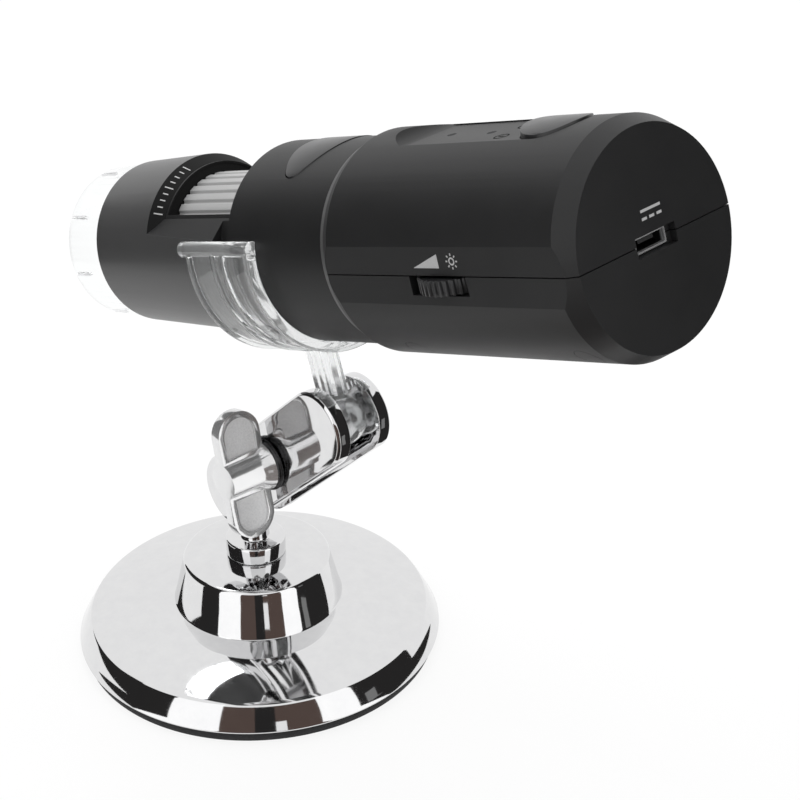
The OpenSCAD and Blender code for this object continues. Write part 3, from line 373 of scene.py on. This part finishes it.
tint(smudges, (0.70, 0.70, 0.71), (0.78, 0.78, 0.78)).feed(plating_sockets["Base Color"])
(0.02 + 0.06 * smudges).feed(plating_sockets["Roughness"])
plating_sockets["Metallic"].default_value = 1.0
relief(waves, 0.05).feed(plating_sockets["Normal"])
hand_over(base, "stand", ["base_plate"], plating)

# Ball stud
# A turned stud with a collar ring, a neck and a ball, plated like the base.
# Its shank and its nut are inside the base. The nut keeps the solid's shape, and the shank is left out.
joints = {joint["name"]: joint for joint in frame["joints"]}
stud_ball = Vector(joints["arm_tilt"]["pos_m"]) / MM
ring_radius = 6.4
ring_foot = 21.45
ring_top = 25.45
ring_edge = 0.5
neck_round = 0.6
neck_radius = 3.0
ball_radius = 5.2
neck_meets = -math.degrees(math.acos(neck_radius / ball_radius))
stud_outline = (
    [(0, ring_foot), (ring_radius - ring_edge, ring_foot)]
    + arc((ring_radius - ring_edge, ring_foot + ring_edge), ring_edge, -90, 0, 4)
    + arc((ring_radius - ring_edge, ring_top - ring_edge), ring_edge, 0, 90, 4)
    + arc((neck_radius + neck_round, ring_top + neck_round), neck_round, -90, -180, 4)
    + arc((0, stud_ball.z), ball_radius, neck_meets, 90, 36)
)
stud = lathe("ball_stud_plated", stud_outline, steps=128)
settle(stud, stand_place)
hand_over(stud, "post", ["ball_stud"], plating)
steel = clouded("plain_steel", grain=(1.2, 3.0), rough=(0.25, 0.2), fixed={"Metallic": 1.0},
                colours=((0.5, 0.5, 0.51), (0.62, 0.62, 0.63)))


def dress(node, material):
    """Gives a CAD piece that stays as it is a material of its own."""
    slots = frame["nodes"][node].data.materials
    slots.clear()
    slots.append(material)


dress("stud_nut", steel)

# Clamp jaws
# Two plated plates with round ends hold a ball at each end between them.
# A screw through their middle draws them together; each ball sits in a round socket.


def axes_frame(origin, x_axis, z_axis):
    """The place of a part's own frame, whose pieces are made in millimetres."""
    x_axis = Vector(x_axis).normalized()
    y_axis = Vector(z_axis).cross(x_axis).normalized()
    z_axis = x_axis.cross(y_axis)
    turn = Matrix((x_axis, y_axis, z_axis)).transposed().to_4x4()
    return Matrix.Translation(Vector(origin)) @ turn @ Matrix.Scale(MM, 4)


def softened(node, name, width, segments=2, crease=35, even=False):
    """A copy of a CAD piece whose mesh is joined up and whose sharp edges are rounded.
    A piece with large flats and soft steps gets even shading over them."""
    weld = 0.000002
    flat_angle = math.radians(0.4)
    sharp_angle = math.radians(30)
    piece = bpy.data.objects.new(name, frame["nodes"][node].data.copy())
    bpy.context.scene.collection.objects.link(piece)
    only(piece)
    bpy.ops.mesh.customdata_custom_splitnormals_clear()
    bpy.ops.object.mode_set(mode="EDIT")
    bpy.ops.mesh.select_all(action="SELECT")
    bpy.ops.mesh.remove_doubles(threshold=weld)
    bpy.ops.mesh.dissolve_limited(angle_limit=flat_angle)
    bpy.ops.object.mode_set(mode="OBJECT")
    rounding = piece.modifiers.new("rounding", "BEVEL")
    rounding.width = width * MM
    rounding.segments = segments
    rounding.limit_method = "ANGLE"
    rounding.angle_limit = sharp_angle
    bpy.ops.object.modifier_apply(modifier=rounding.name)
    bpy.ops.object.shade_smooth_by_angle(angle=math.radians(crease))
    if even:
        shading = piece.modifiers.new("even_shading", "WEIGHTED_NORMAL")
        shading.mode = "FACE_AREA"
        shading.keep_sharp = True
        bpy.ops.object.modifier_apply(modifier=shading.name)
    return piece


for side in ("front", "rear"):
    jaw = softened(f"clamp_jaw_{side}", f"clamp_jaw_{side}_plated", 0.25, segments=3)
    hand_over(jaw, "arm", [f"clamp_jaw_{side}"], plating)

# Clamp screw, washer and wing nut
# A plated screw crosses the jaws; a washer and a cast wing nut on its end tighten them by hand.
# The washer's near-black colour is a painted reflection. Each wing has a sunk panel with a rough cast
# floor.
screw = softened("clamp_screw", "clamp_screw_steel", 0.2)
hand_over(screw, "arm", ["clamp_screw"], steel)
screw_axis = Vector(joints["wing_turn"]["axis"])
screw_point = Vector(joints["wing_turn"]["pos_m"])
washer_corners = [corner.co - screw_point for corner in frame["nodes"]["clamp_washer"].data.vertices]
washer_foot = min(corner.dot(screw_axis) for corner in washer_corners) / MM
washer_radius = 5.6
washer_bore = 2.1
washer_round = 0.7
washer = lathe("clamp_washer_dark_reflection", [(washer_bore, 0)]
               + arc((washer_radius - washer_round, washer_round), washer_round, -90, 90, 12)
               + [(washer_bore, 2 * washer_round), (washer_bore, 0)], steps=96)
washer_place = axes_frame(screw_point + screw_axis * washer_foot * MM, screw_axis.orthogonal(), screw_axis)
settle(washer, washer_place)
# The washer's metal is painted near black: a painted reflection of the dark round it.
washer_reflection = clouded("washer_reflection_steel", grain=(0.8, 3.0), rough=(0.2, 0.15), fixed={"Metallic": 1.0},
                    colours=((0.03, 0.03, 0.031), (0.07, 0.07, 0.072)))
hand_over(washer, "arm", ["clamp_washer"], washer_reflection)
wing = softened("wing_nut", "wing_nut_plated", 0.4, segments=3)
cast_skin = clouded("cast_skin", grain=(0.5, 3.0), rough=(0.1, 0.1), depth=0.03, fixed={"Metallic": 0.75},
                    colours=((0.74, 0.74, 0.75), (0.84, 0.84, 0.84)))
hand_over(wing, "wing", ["wing_nut"], cast_skin)
cast, cast_sockets, point = new_surface("cast_plating")
pits = noise(point, 2.6, 4.0, 0.65)
cloudy = noise(point, 0.3, 2.0)
tint(pits, (0.62, 0.62, 0.63), (0.95, 0.95, 0.95)).feed(cast_sockets["Base Color"])
(0.3 + 0.2 * cloudy).feed(cast_sockets["Roughness"])
cast_sockets["Metallic"].default_value = 0.35
relief(pits, 0.06).feed(cast_sockets["Normal"])
wing.data.materials.append(cast)
arm = Vector(joints["cradle_tilt"]["pos_m"]) - Vector(joints["arm_tilt"]["pos_m"])
wing_turn = math.radians(59.4)
wing_length = Matrix.Rotation(wing_turn, 3, screw_axis) @ arm.normalized()
wing_face = screw_axis.cross(wing_length)
floor_height = (0.7, 0.9)
floor_lean = 0.99
hub_clear = 3.9
for face in wing.data.polygons:
    off = (face.center - screw_point) / MM
    flat = abs(face.normal.dot(wing_face)) > floor_lean
    sunk = floor_height[0] < abs(off.dot(wing_face)) < floor_height[1]
    if flat and sunk and abs(off.dot(wing_length)) > hub_clear:
        face.material_index = 1

# Cradle
# A clear moulded clip with ribs round it, thick lips, and a stem that ends in a ball.
# It springs open to take the tube, and its ball is held in the clamp's upper end.
clear = clouded("clear_moulding", grain=(0.5, 2.0), rough=(0.02, 0.03), depth=0.01, fixed={
    "Base Color": (0.95, 0.96, 0.96, 1), "IOR": 1.42, "Transmission Weight": 0.94})
cradle = softened("cradle", "cradle_clear", 0.25, segments=3)
hand_over(cradle, "cradle", ["cradle"], clear)
milky = clouded("milky_edge", grain=(0.6, 2.0), rough=(0.06, 0.08), fixed={
    "Base Color": (0.95, 0.96, 0.96, 1), "IOR": 1.42, "Transmission Weight": 0.8})
shaft = clouded("clear_shaft", grain=(0.5, 2.0), rough=(0.10, 0.06), fixed={
    "Base Color": (0.97, 0.98, 0.98, 1), "IOR": 1.3, "Transmission Weight": 0.9})
cradle.data.materials.append(milky)
cradle.data.materials.append(shaft)
tube_place = axes_frame(joints["tube_roll"]["pos_m"], joints["tube_roll"]["axis"], (0, 0, 1))
to_tube = tube_place.inverted()
tube_axis = Vector(joints["tube_roll"]["axis"])
rib_radius = 20.93
stem_top = -21.23
stem_foot = -42.5
rear_rim = -21.4
for face in cradle.data.polygons:
    s, y, z = to_tube @ face.center
    if stem_foot < z < stem_top:
        face.material_index = 2
    elif s > rear_rim and z > -rib_radius:
        face.material_index = 1

# Lens barrel
# The front tube, moulded in black with a fine grain. A stepped window in its top shows the
# focus wheel, and its rear end sits in the collar.
fine_grain = (7.0, 3.0, 0.6)
wide_patches = (0.12, 2.0)


def grained_black(name, rough, colours, depth, shine):
    """Black moulding with a fine grain and wide faint patches. Its roughness starts at one value and
    grows by the second with the grain and by the third with the patches."""
    material, sockets, point = new_surface(name)
    grain = noise(point, *fine_grain)
    patches = noise(point, *wide_patches)
    tint(patches, *colours).feed(sockets["Base Color"])
    (rough[0] + rough[1] * grain + rough[2] * patches).feed(sockets["Roughness"])
    sockets["Specular IOR Level"].default_value = shine
    relief(grain, depth).feed(sockets["Normal"])
    return material


black = grained_black("satin_black", rough=(0.40, 0.08, 0.05), depth=0.012, shine=0.4,
                      colours=((0.0105, 0.0105, 0.011), (0.0145, 0.0145, 0.015)))
sheen_black = grained_black("sheen_black", rough=(0.30, 0.06, 0.04), depth=0.01, shine=0.5,
                            colours=((0.047, 0.047, 0.0475), (0.056, 0.056, 0.0565)))
barrel = softened("lens_barrel", "lens_barrel_black", 0.15, crease=20, even=True)
hand_over(barrel, "tube", ["lens_barrel"], sheen_black)
# The darkest black, used as painted shade in recesses and gaps.
painted_shade_black = clouded("painted_shade_black", grain=fine_grain, rough=(0.6, 0.1), fixed={"Specular IOR Level": 0.15},
                     colours=((0.006, 0.006, 0.006), (0.009, 0.009, 0.009)))
barrel.data.materials.append(painted_shade_black)
barrel.data.materials.append(black)
# Window faces are painted shade: the sloped front wall in the darkest black, ledges and inner faces in
# satin black.
window_wall = (-57.0, -51.5)
window_end = -28.7
wall_lean = 0.2
skin_radius = 16.9
for face in barrel.data.polygons:
    s, y, z = to_tube @ face.center
    if window_wall[0] < s < window_wall[1] and face.normal.dot(tube_axis) > wall_lean and z > 0:
        face.material_index = 1
    elif window_wall[0] < s < window_end and math.hypot(y, z) < skin_radius:
        face.material_index = 2

# Focus wheel
# A grey moulded wheel with ribs along it, turned by a fingertip through the window.
# Its thread moves the lens along two rods.
grey = clouded("matt_grey", grain=(5.0, 3.0), rough=(0.5, 0.1), depth=0.01,
               colours=((0.33, 0.33, 0.33), (0.4, 0.4, 0.4)))
wheel = softened("focus_wheel", "focus_wheel_grey", 0.08)
hand_over(wheel, "focus", ["focus_wheel"], grey)

# Clear front cap
# A clear cup pushed into the barrel's front end. Its slit rim rests on the thing looked at
# and keeps the lens at its distance.
thin_ior = 1.13
thin_clear = clouded("thin_clear_wall", grain=(0.4, 2.0), rough=(0.03, 0.05), fixed={
    "Base Color": (0.97, 0.98, 0.98, 1), "IOR": thin_ior, "Transmission Weight": 1.0})
cap = softened("front_cap", "front_cap_clear", 0.12)
hand_over(cap, "cap", ["front_cap"], thin_clear)
slit_wall = clouded("slit_wall", grain=(3.0, 2.0), rough=(0.4, 0.2),
                    colours=((0.72, 0.72, 0.73), (0.85, 0.85, 0.86)),
                    fixed={"IOR": thin_ior, "Transmission Weight": 0.6})
cap.data.materials.append(slit_wall)
slit_lean = 0.5
for face in cap.data.polygons:
    s, y, z = to_tube @ face.center
    outward = (tube_place.to_3x3() @ Vector((0, y, z))).normalized()
    if abs(face.normal.dot(tube_axis)) < slit_lean and abs(face.normal.dot(outward)) < slit_lean:
        face.material_index = 1

# Lens and light ring
# The lens sits in a black sleeve that slides on two rods, with a white board of lamps round it.
# They show through the clear cap from the front.
glass = clouded("lens_glass", grain=(0.4, 1.0), rough=(0.01, 0.02), fixed={
    "Base Color": (0.85, 0.92, 0.97, 1), "IOR": 1.52, "Transmission Weight": 1.0})
dress("objective_lens", glass)
dress("image_sensor", glass)
dress("lens_carriage", black)
dress("guide_rods", steel)
white_board = clouded("white_board", grain=(3.0, 3.0), rough=(0.35, 0.15),
                      colours=((0.7, 0.7, 0.68), (0.78, 0.78, 0.76)))
dress("light_ring_board", white_board)
phosphor = clouded("lamp_phosphor", grain=(6.0, 3.0), rough=(0.3, 0.2),
                   colours=((0.8, 0.7, 0.3), (0.88, 0.8, 0.42)))
dress("ring_lamps", phosphor)
dress("status_lamps", phosphor)

# Front collar and its button
# The middle sleeve of the tube, black like the rear body, that carries the leaf-shaped button.
# The barrel's rear end sits in it, and the two shells grip its rear end.
collar = softened("front_collar", "front_collar_black", 0.15, even=True)
hand_over(collar, "tube", ["front_collar"], black)
smooth_black = clouded("smooth_black", grain=(0.5, 2.0), rough=(0.28, 0.08),
                       colours=((0.016, 0.016, 0.017), (0.024, 0.024, 0.025)))
snap_key = softened("snap_button", "snap_button_black", 0.2, segments=3)
hand_over(snap_key, "snap_key", ["snap_button"], smooth_black)

# Rear body
# Two black moulded half shells, screwed together from below, with a seam along each side.
# The upper one has the sunk panel, and the rear end has the opening for the socket.


def along_tube(point, first, last):
    """A mask that grows smoothly from 0 to 1 between two places along the tube."""
    start = Vector(joints["tube_roll"]["pos_m"]).dot(tube_axis) / MM
    along = {0: point, 1: tube_axis}
    place = point.node("ShaderNodeVectorMath", {"operation": "DOT_PRODUCT"}, along, out=1)
    values = {"Value": place, "From Min": start + first, "From Max": start + last}
    return point.node("ShaderNodeMapRange", {"interpolation_type": "SMOOTHSTEP"}, values)


shells = {}
for half in ("upper", "lower"):
    shells[half] = softened(f"{half}_shell", f"{half}_shell_black", 0.15, crease=16, even=True)
    hand_over(shells[half], "tube", [f"{half}_shell"], black)
ramp = (6.3, 12.7)
ramp_faces = (6.0, 12.8)
ramp_height = 18.5
ramp_lean = 0.1
# The ramp's colour runs from near black at the panel's front edge to the shells' black at its foot: painted
# shade in the scoop.
ramp_black, ramp_sockets, point = new_surface("ramp_black")
depth = along_tube(point, *ramp)
fleck = noise(point, *fine_grain)
tint(depth, (0.002, 0.002, 0.002), (0.0125, 0.0125, 0.013)).feed(ramp_sockets["Base Color"])
(0.62 - 0.2 * depth + 0.08 * fleck).feed(ramp_sockets["Roughness"])
ramp_sockets["Specular IOR Level"].default_value = 0.2
shells["upper"].data.materials.append(ramp_black)
for face in shells["upper"].data.polygons:
    s, y, z = to_tube @ face.center
    on_ramp = ramp_faces[0] < s < ramp_faces[1] and z > ramp_height
    if on_ramp and face.normal.dot(tube_axis) > ramp_lean:
        face.material_index = 1

# Seam lip and front rim
# A thin tongue fills the seam inside the wall, short of its outside and of the socket's opening.
# A narrow bevelled ring, smoother than the shells, closes their front edge; its lighter black is a painted
# highlight.


def plate(name, outline, foot, thickness):
    """A flat plate with that outline, in millimetres, from its foot up."""
    piece = drawn_line(name, [(x, y, foot) for x, y in outline])
    bpy.ops.mesh.select_all(action="SELECT")
    bpy.ops.mesh.edge_face_add()
    bpy.ops.mesh.extrude_region_move(TRANSFORM_OT_translate={"value": (0, 0, thickness)})
    bpy.ops.mesh.select_all(action="SELECT")
    bpy.ops.mesh.normals_make_consistent(inside=False)
    bpy.ops.object.mode_set(mode="OBJECT")
    return piece


def joined(name, pieces):
    """One piece made of several."""
    only(pieces[0])
    for piece in pieces:
        piece.select_set(True)
    bpy.ops.object.join()
    pieces[0].name = name
    return pieces[0]


def fix_on_tube(piece, material):
    """Gives a piece that no CAD node has its material, and lets it ride on the tube."""
    piece.data.materials.append(material)
    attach(piece, "tube")


lip_height = 0.19
lip_front, lip_end, lip_bevel = 0.4, 58.5, 56.6
lip_inside, lip_outside, lip_corner = 17.4, 18.85, 18.05
rear_inside, socket_clear = 56.2, 5.0
lip_outline = [
    (lip_front, lip_inside), (lip_front, lip_outside), (lip_bevel, lip_outside), (lip_end, lip_corner),
    (lip_end, socket_clear), (rear_inside, socket_clear), (rear_inside, lip_inside),
]
lips = []
for side in (1, -1):
    lips.append(plate("seam_lip", [(s, side * y) for s, y in lip_outline], -lip_height / 2, lip_height))
lip = joined("seam_lip", lips)
settle(lip, tube_place)
# The lip is painted in the darkest black, as painted shade in the seam's gap.
fix_on_tube(lip, painted_shade_black)
rim_foot = (18.78, -1.5)
rim_edge = (19.33, -0.02)
rim = lathe("body_rim", [rim_foot, rim_edge, (rim_foot[0], rim_edge[1]), rim_foot])
turned_along = Matrix(((0, 0, 1), (0, 1, 0), (-1, 0, 0))).to_4x4()
settle(rim, tube_place @ turned_along)
# The rim takes the lighter sheen black: a painted highlight along the bevel.
fix_on_tube(rim, sheen_black)

# Screws, plugs and socket
# Steel screws hold the shells and boards; black plugs close the holes over the case screws.
# The socket is a folded steel shell, bright at its mouth, with painted shade darkening it inside.
for node in ("case_screws", "sensor_screws", "key_board_screws"):
    dress(node, steel)
socket_steel, socket_sockets, point = new_surface("socket_steel")
socket_end = max((to_tube @ corner.co).x for corner in frame["nodes"]["micro_socket"].data.vertices)
# Near black deep inside, bright steel at the mouth: painted shade inside the opening.
dark_depth, bright_depth = 1.1, 0.3
lit = along_tube(point, socket_end - dark_depth, socket_end - bright_depth)
tint(lit, (0.012, 0.012, 0.012), (0.8, 0.8, 0.81)).feed(socket_sockets["Base Color"])
(0.5 - 0.25 * lit).feed(socket_sockets["Roughness"])
(0.6 * lit).feed(socket_sockets["Metallic"])
socket_sockets["Specular IOR Level"].default_value = 0.2
dress("micro_socket", socket_steel)
dress("screw_plugs", black)

# Power button and indicator lights
# A round black button at the rear of the panel, moulded with a flange that keeps it in its hole,
# and two smoked light pipes ahead of it that lead up from the lamps on the board.
power_key = softened("power_button", "power_button_black", 0.25, segments=3)
hand_over(power_key, "power_key", ["power_button"], smooth_black)
smoked = clouded("smoked_clear", grain=(1.5, 2.0), rough=(0.5, 0.2), fixed={"Specular IOR Level": 0.1},
                 colours=((0.012, 0.012, 0.013), (0.02, 0.02, 0.022)))
dress("light_pipes", smoked)

# Light dial
# A black knurled wheel that stands out of a slot under the seam and sets the lamps' brightness.
# Inside the body it turns a small resistor.
dial = softened("light_dial", "light_dial_black", 0.08)
hand_over(dial, "dial", ["light_dial"], smooth_black)

# Printed signs
# Thin ink on the tube: a ramp for more and less light with a small lamp, the line and dashes of
# direct current above the socket, the power and charge rings, and ticks in the focus window.
ink_height = 0.02
ring_steps = 40
side_flat = 19.35
rear_face = 59.0
panel_face = 18.65


def ring(centre, radius, line, start=0, stop=358):
    """The outline of a band of ink along an arc, in degrees. No outline has a hole, so a whole ring
    keeps a narrow gap."""
    outer = arc(centre, radius + line / 2, start, stop, ring_steps)
    return outer + arc(centre, radius - line / 2, stop, start, ring_steps)


def stroke(first, last, line):
    """The outline of a straight line of ink."""
    first, last = Vector(first), Vector(last)
    along = (last - first).normalized() * line / 2
    across = Vector((-along.y, along.x))
    return [tuple(corner) for corner in (first + across, first - across, last - across, last + across)]


def on_face(outlines, across, up, height):
    """Outlines for a face of the tube that lies along the two ways, at that distance from the axis."""
    return [(outline, Vector(across), Vector(up), height) for outline in outlines]


def printed(name, outlines, ink):
    """A sign in ink: each outline is filled on its face, and all of them become one piece."""
    marks = []
    for outline, across, up, height in outlines:
        mark = plate(name, outline, height, ink_height)
        turn = Matrix((across, up, across.cross(up))).transposed().to_4x4()
        settle(mark, tube_place @ turn)
        marks.append(mark)
    fix_on_tube(joined(name, marks), ink)


white_ink = clouded("white_ink", grain=(4.0, 3.0), rough=(0.55, 0.15),
                    colours=((0.38, 0.38, 0.38), (0.5, 0.5, 0.5)))
dark_ink = clouded("dark_ink", grain=(4.0, 3.0), rough=(0.8, 0.1), fixed={"Specular IOR Level": 0.05},
                   colours=((0.01, 0.01, 0.01), (0.02, 0.02, 0.02)))
light_ramp = [(22.7, 1.4), (28.9, 1.4), (28.9, 3.8)]
lamp_middle = Vector((32.2, 2.6))
lamp_radius, ray_foot, ray_tip = 0.55, 0.95, 1.35
lamp_line = 0.26
ray_count = 8
rays = []
for i in range(ray_count):
    turn = math.tau * i / ray_count
    way = Vector((math.cos(turn), math.sin(turn)))
    rays.append(stroke(lamp_middle + way * ray_foot, lamp_middle + way * ray_tip, lamp_line))
lamp_sign = [light_ramp, ring(lamp_middle, lamp_radius, lamp_line)] + rays
printed("light_sign", on_face(lamp_sign, (1, 0, 0), (0, 0, 1), side_flat), white_ink)
current_line = 0.45
line_height, dash_height = 5.2, 3.9
half_line, half_dash = 2.4, 0.6
dash_places = (-1.8, 0, 1.8)
current_sign = [stroke((-half_line, line_height), (half_line, line_height), current_line)]
for x in dash_places:
    current_sign.append(stroke((x - half_dash, dash_height), (x + half_dash, dash_height), current_line))
printed("current_sign", on_face(current_sign, (0, 1, 0), (0, 0, 1), rear_face), white_ink)
sign_row, power_side, charge_side = 32.9, 2.9, -3.0
sign_radius, sign_line = 1.25, 0.3
power_gap, power_reach = 30, 1.5
half_bar, bar_line = 0.6, 0.5
key_sign = [
    ring((sign_row, power_side), sign_radius, sign_line, power_gap, 360 - power_gap),
    stroke((sign_row, power_side), (sign_row + power_reach, power_side), sign_line),
    ring((sign_row, charge_side), sign_radius, sign_line),
    stroke((sign_row - half_bar, charge_side), (sign_row + half_bar, charge_side), bar_line),
]
printed("key_sign", on_face(key_sign, (1, 0, 0), (0, 1, 0), panel_face), dark_ink)
slope_foot = Vector((-52.7, 15.577))
slope_top = Vector((-56.1, 17.127))
slope_middle = (slope_foot + slope_top) / 2
rise = slope_top - slope_foot
tick_count, first_tick, tick_step = 9, -14, -5
long_every, long_tick, short_tick, tick_line = 4, 1.0, 0.6, 0.24
forward = Vector((1, 0, 0))
ticks = []
for i in range(tick_count):
    turn = math.radians(first_tick + tick_step * i)
    outward = Vector((0, math.sin(turn), math.cos(turn)))
    up = (forward * rise.x + outward * rise.y).normalized()
    face_out = (outward * -rise.x + forward * rise.y).normalized()
    middle = forward * slope_middle.x + outward * slope_middle.y
    reach = short_tick if i % long_every else long_tick
    mark = stroke((0, middle.dot(up) - reach), (0, middle.dot(up) + reach), tick_line)
    ticks += on_face([mark], up.cross(face_out), up, middle.dot(face_out))
printed("focus_scale", ticks, white_ink)

# Boards, battery and other pieces inside
# Green boards with black parts, an amber flat cable and a foil-wrapped cell.
# The closed case hides them.
board = clouded("green_board", grain=(2.0, 3.0), rough=(0.3, 0.15),
                colours=((0.012, 0.11, 0.045), (0.02, 0.16, 0.07)))
for node in ("main_board", "key_board", "sensor_board"):
    dress(node, board)
for node in ("board_chips", "power_switch", "snap_switch", "dial_pot"):
    dress(node, smooth_black)
film = clouded("amber_film", grain=(1.0, 2.0), rough=(0.2, 0.1),
               colours=((0.45, 0.2, 0.03), (0.6, 0.3, 0.05)))
dress("sensor_flex", film)
foil = clouded("battery_foil", grain=(0.8, 4.0), rough=(0.35, 0.2), fixed={"Metallic": 0.8},
               colours=((0.4, 0.42, 0.46), (0.5, 0.52, 0.56)))
dress("battery", foil)
